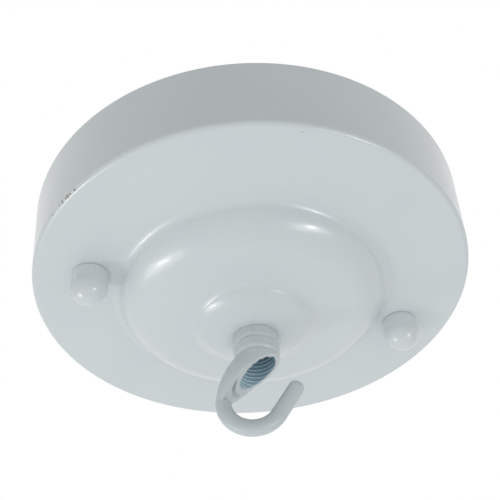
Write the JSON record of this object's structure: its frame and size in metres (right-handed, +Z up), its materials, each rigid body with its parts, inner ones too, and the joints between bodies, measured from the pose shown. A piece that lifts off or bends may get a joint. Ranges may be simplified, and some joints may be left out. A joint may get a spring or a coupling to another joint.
{
  "type": "light fixture ceiling canopy",
  "caption": "White pressed-steel ceiling canopy with a stepped dome, dome nuts on studs and a cast hook whose hollow stem lets a pendant's cord through.",
  "frame": {"origin": "centre of the ceiling plane, midway between the strap's two screw slots", "axes": "+Z up into the ceiling, the object hangs towards -Z; the two studs lie on X; the earth terminal is on the +Y side"},
  "size_m": [0.105, 0.105, 0.0545],
  "materials": {
    "white_enamel": "gloss",
    "hook_enamel": "gloss",
    "zinc_plate": "zinc plated",
    "brass": "plain",
    "nylon": "natural nylon"
  },
  "bodies": {
    "root": {"canopy_cup": "white_enamel", "ceiling_strap": "zinc_plate", "left_stud_screw": "zinc_plate", "left_stud_washer": "zinc_plate", "left_stud_nut": "zinc_plate", "right_stud_screw": "zinc_plate", "right_stud_washer": "zinc_plate", "right_stud_nut": "zinc_plate", "earth_screw": "brass", "earth_cup_washer": "brass", "cord_nipple": "zinc_plate", "nipple_washer": "zinc_plate", "nipple_star_washer": "zinc_plate", "nipple_nut": "zinc_plate", "cord_bush": "nylon", "hook": "hook_enamel"},
    "left_nut": {"left_dome_nut": "white_enamel"},
    "right_nut": {"right_dome_nut": "white_enamel"}
  },
  "joints": [
    {"name": "left_nut_turn", "type": "hinge", "parent": "root", "child": "left_nut", "pos_m": [-0.0381, 0, -0.0185], "axis": [0, 0, 1], "continuous": true},
    {"name": "right_nut_turn", "type": "hinge", "parent": "root", "child": "right_nut", "pos_m": [0.0381, 0, -0.0185], "axis": [0, 0, 1], "continuous": true}
  ]
}
